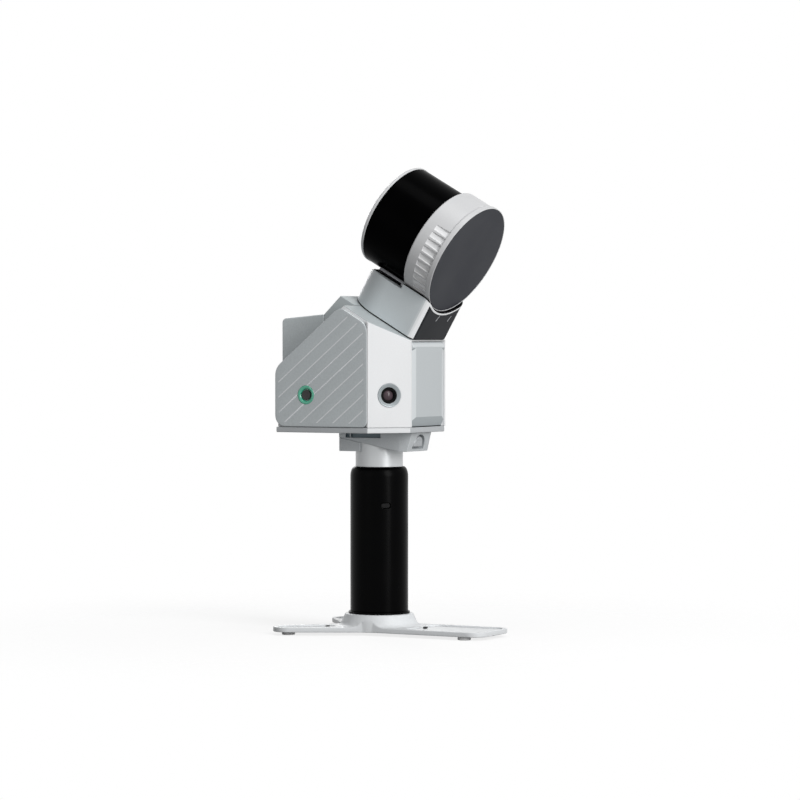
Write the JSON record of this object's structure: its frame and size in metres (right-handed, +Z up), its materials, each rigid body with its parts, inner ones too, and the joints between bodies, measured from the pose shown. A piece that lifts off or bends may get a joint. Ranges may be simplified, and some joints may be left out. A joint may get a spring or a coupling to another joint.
{
  "type": "lidar scanner",
  "caption": "Hand-held lidar scanner: tilted turning scanner head on a boxy body with corner cameras, hinged front cover and quick-release grip, standing on a flat legged base.",
  "frame": {"origin": "blunt tip of the centre point under the base, on the ground and on the handle's axis", "axes": "+Z up along the handle, -Y to the front, the side with the front cover, and -X to the side with the power button"},
  "size_m": [0.136, 0.2005, 0.4234],
  "materials": {
    "base_paint": "satin",
    "pad_rubber": "matte",
    "dark_steel": "satin",
    "bright_steel": "polished",
    "handle_metal": "satin anodised",
    "clamp_metal": "bead blasted",
    "grip_rubber": "matte",
    "body_grey": "fine textured",
    "body_white": "satin",
    "neck_grey": "satin",
    "dark_panel": "gloss",
    "saddle_metal": "turned",
    "scanner_light": "bead blasted",
    "scanner_dark": "satin",
    "window_black": "gloss",
    "lens_glass": "coated",
    "lens_black": "matte",
    "light_green": "translucent",
    "black_plastic": "matte",
    "board_green": "satin",
    "winding": "enamelled",
    "cell_wrap": "sleeved"
  },
  "bodies": {
    "stand": {"base_plate": "base_paint", "foot_pads": "pad_rubber", "centre_point": "dark_steel", "base_screws": "dark_steel", "handle_tube": "handle_metal", "handle_plug": "handle_metal", "cell_holders": "black_plastic", "battery_cells": "cell_wrap", "battery_board": "board_green", "handle_head": "handle_metal", "grip_sleeve": "grip_rubber", "grip_ring": "grip_rubber", "clamp_block": "clamp_metal", "clamp_yoke": "clamp_metal", "dovetail_plate": "clamp_metal", "plate_screws": "dark_steel", "bottom_tray": "body_grey", "chassis": "handle_metal", "main_board": "board_green", "heat_sink": "handle_metal", "storage_module": "black_plastic", "main_casing": "body_white", "left_cover": "body_grey", "right_cover": "body_grey", "rear_cover": "body_grey", "rear_screws": "dark_steel", "port_panel": "black_plastic", "port_sockets": "bright_steel", "hinge_pin": "bright_steel", "camera_bezels": "clamp_metal", "camera_barrels": "lens_black", "camera_lenses": "lens_glass", "camera_boards": "board_green", "light_ring": "light_green", "button_switch": "black_plastic", "shaft_flange": "bright_steel", "drive_shaft": "bright_steel", "motor_stator": "winding", "slip_ring": "black_plastic"},
    "head": {"neck_gasket": "pad_rubber", "neck_housing": "neck_grey", "neck_panel": "dark_panel", "neck_bearing": "bright_steel", "motor_magnets": "dark_steel", "mount_pad": "pad_rubber", "saddle": "saddle_metal", "saddle_screws": "dark_steel", "scanner_base": "scanner_light", "scanner_disc": "scanner_dark", "scanner_motor": "dark_steel", "scanner_window": "window_black", "scanner_cap": "scanner_light"},
    "core": {"scanner_core": "black_plastic"},
    "door": {"front_cover": "body_grey"},
    "power": {"power_button": "black_plastic"},
    "release": {"release_button": "clamp_metal"},
    "latch": {"latch_button": "grip_rubber"}
  },
  "joints": [
    {"name": "head_turn", "type": "hinge", "parent": "stand", "child": "head", "pos_m": [0, -0.012, 0.28981], "axis": [0, -0.5, 0.866], "continuous": true},
    {"name": "scanner_spin", "type": "hinge", "parent": "head", "child": "core", "pos_m": [0, -0.053, 0.36082], "axis": [0, -0.866, -0.5], "continuous": true},
    {"name": "cover_hinge", "type": "hinge", "parent": "stand", "child": "door", "pos_m": [0, -0.047, 0.2613], "axis": [-1, 0, 0], "range_deg": [0, 90]},
    {"name": "power_press", "type": "slide", "parent": "stand", "child": "power", "axis": [1, 0, 0], "range_m": [0, 0.0008], "stiffness_N_per_m": 500, "springref_m": -0.001},
    {"name": "release_press", "type": "slide", "parent": "stand", "child": "release", "axis": [0, 0.9636, 0.2672], "range_m": [0, 0.0015], "stiffness_N_per_m": 800, "springref_m": -0.001},
    {"name": "latch_press", "type": "slide", "parent": "stand", "child": "latch", "axis": [0.7431, 0.6691, 0], "range_m": [0, 0.0012], "stiffness_N_per_m": 500, "springref_m": -0.001}
  ]
}
